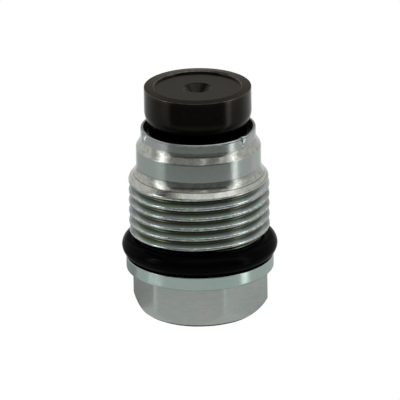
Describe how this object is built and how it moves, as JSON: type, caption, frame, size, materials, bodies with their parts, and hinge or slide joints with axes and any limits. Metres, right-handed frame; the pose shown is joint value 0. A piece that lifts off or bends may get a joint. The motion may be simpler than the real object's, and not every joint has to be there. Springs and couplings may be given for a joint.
{
  "type": "cartridge valve",
  "caption": "Screw-in pressure limiting valve: stepped threaded housing with hexagon, flange and O-ring, black seat body in a staked collar, sprung piston inside.",
  "frame": {"origin": "centre of the hexagon's end face, the lowest point of the valve as it stands on its hexagon", "axes": "+Z along the valve's axis from the hexagon to the seat body's sealing rim; the hexagon has corners on the X axis and flats square to Y"},
  "size_m": [0.022, 0.022, 0.0334],
  "materials": {
    "zinc_plated_steel": "bright zinc plate, turned; satin milled flats",
    "burnished_steel": "hardened and burnished black, fine turned",
    "nitrile_rubber": "glossy, lightly oiled",
    "ground_steel": "ground and lapped",
    "hardened_steel": "hardened, turned",
    "spring_steel": "oil-tempered wire with ground ends",
    "shim_steel": "rolled strip"
  },
  "bodies": {
    "valve_body": {"housing": "zinc_plated_steel", "valve_seat_body": "burnished_steel", "gland_o_ring": "nitrile_rubber", "lift_stop": "hardened_steel", "preload_shim": "shim_steel", "trim_shim": "shim_steel", "closing_spring": "spring_steel"},
    "piston_group": {"valve_piston": "ground_steel", "spring_plate": "hardened_steel"}
  },
  "joints": [
    {"name": "piston_lift", "type": "slide", "parent": "valve_body", "child": "piston_group", "axis": [0, 0, -1], "range_m": [0, 0.0012], "stiffness_N_per_m": 64700, "deforming": ["closing_spring"]}
  ]
}
